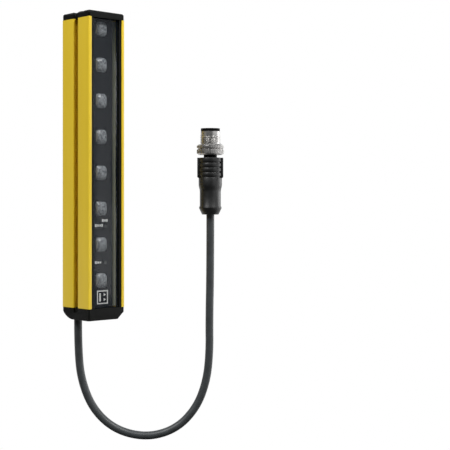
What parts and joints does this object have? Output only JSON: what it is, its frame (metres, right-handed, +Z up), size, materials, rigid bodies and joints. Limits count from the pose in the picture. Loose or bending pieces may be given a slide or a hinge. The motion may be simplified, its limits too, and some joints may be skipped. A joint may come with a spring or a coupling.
{
  "type": "safety light curtain",
  "caption": "Slim upright light curtain bar with a window over a row of beam lenses, black end caps, and a hanging lead with a round screw-lock plug.",
  "frame": {"origin": "centre of the flat back face of the bar, half way along its whole length", "axes": "+Z up along the bar, +Y out of the back face, so the window faces -Y and +X is to the right when facing the window"},
  "size_m": [0.0707, 0.0689, 0.2506],
  "materials": {
    "led_epoxy": "smoky clear epoxy",
    "black_cap_plastic": "fine moulded texture",
    "screw_steel": "zinc plated",
    "black_rubber": "matt",
    "capacitor_can": "satin can",
    "board_laminate": "green solder resist",
    "contact_plastic": "moulded",
    "gold_contacts": "gold plated",
    "core_insulation": "coloured insulation",
    "nickel_brass": "nickel plated brass",
    "chip_plastic": "matt moulding compound",
    "smoked_acrylic": "smoked clear sheet, polished",
    "lead_jacket": "dark grey cable jacket",
    "lens_plastic": "clear moulded lens with a grey tint",
    "carrier_plastic": "matt black, light absorbing",
    "plug_overmould": "satin moulded elastomer",
    "yellow_powder_coat": "satin yellow powder coat on extruded aluminium",
    "led_package": "white package",
    "light_guide": "frosted end",
    "header_plastic": "off-white"
  },
  "bodies": {
    "curtain": {"beam_led_1": "led_epoxy", "beam_led_2": "led_epoxy", "beam_led_3": "led_epoxy", "beam_led_4": "led_epoxy", "beam_led_5": "led_epoxy", "beam_led_6": "led_epoxy", "beam_led_7": "led_epoxy", "beam_led_8": "led_epoxy", "bottom_cap": "black_cap_plastic", "bottom_cap_screws": "screw_steel", "bottom_gasket": "black_rubber", "capacitor_1": "capacitor_can", "capacitor_2": "capacitor_can", "circuit_board": "board_laminate", "contact_carrier": "contact_plastic", "contact_pins": "gold_contacts", "core_wires": "core_insulation", "driver_chip": "chip_plastic", "front_window": "smoked_acrylic", "lead": "lead_jacket", "lead_grommet": "black_rubber", "lens_1": "lens_plastic", "lens_2": "lens_plastic", "lens_3": "lens_plastic", "lens_4": "lens_plastic", "lens_5": "lens_plastic", "lens_6": "lens_plastic", "lens_7": "lens_plastic", "lens_8": "lens_plastic", "lens_carrier": "carrier_plastic", "plug_body": "plug_overmould", "profile_housing": "yellow_powder_coat", "safety_chip_1": "chip_plastic", "safety_chip_2": "chip_plastic", "sheath_end": "lead_jacket", "status_led_1": "led_package", "status_led_2": "led_package", "status_led_3": "led_package", "status_light_1": "light_guide", "status_light_2": "light_guide", "status_light_3": "light_guide", "top_cap": "black_cap_plastic", "top_cap_screws": "screw_steel", "top_gasket": "black_rubber", "window_strip_left": "black_rubber", "window_strip_right": "black_rubber", "wire_header": "header_plastic"},
    "coupling_nut": {"coupling_nut": "nickel_brass"}
  },
  "joints": [
    {"name": "coupling_turn", "type": "hinge", "parent": "curtain", "child": "coupling_nut", "pos_m": [0.04962, -0.06082, 0.0157], "axis": [0, 0, 1], "continuous": true}
  ]
}
